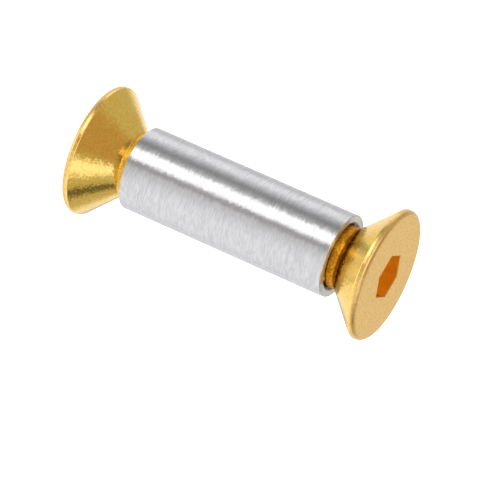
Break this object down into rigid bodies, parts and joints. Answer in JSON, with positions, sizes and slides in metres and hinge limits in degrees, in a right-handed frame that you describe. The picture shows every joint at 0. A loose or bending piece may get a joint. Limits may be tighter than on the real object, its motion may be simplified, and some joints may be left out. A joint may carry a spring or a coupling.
{
  "type": "handle rivet",
  "caption": "Knife-handle rivet: a threaded steel sleeve with a gold-coloured countersunk hex-socket screw in each end.",
  "frame": {"origin": "centre of the bottom screw's flat head face, on the rivet's axis", "axes": "+Z along the axis from the bottom screw to the top screw; a corner of each hexagon socket lies on X"},
  "size_m": [0.0082, 0.0082, 0.02],
  "materials": {
    "steel": "turned, fine brushing round the sleeve",
    "gold_plate": "gold-coloured plating on steel, satin"
  },
  "bodies": {
    "sleeve": {"sleeve": "steel"},
    "bottom_screw": {"bottom_screw": "gold_plate"},
    "top_screw": {"top_screw": "gold_plate"}
  },
  "joints": [
    {"name": "bottom_screw_out", "type": "slide", "parent": "sleeve", "child": "bottom_screw", "axis": [0, 0, -1], "range_m": [-0.0007, 0.0049]},
    {"name": "top_screw_out", "type": "slide", "parent": "sleeve", "child": "top_screw", "axis": [0, 0, 1], "range_m": [-0.0007, 0.0049]}
  ]
}
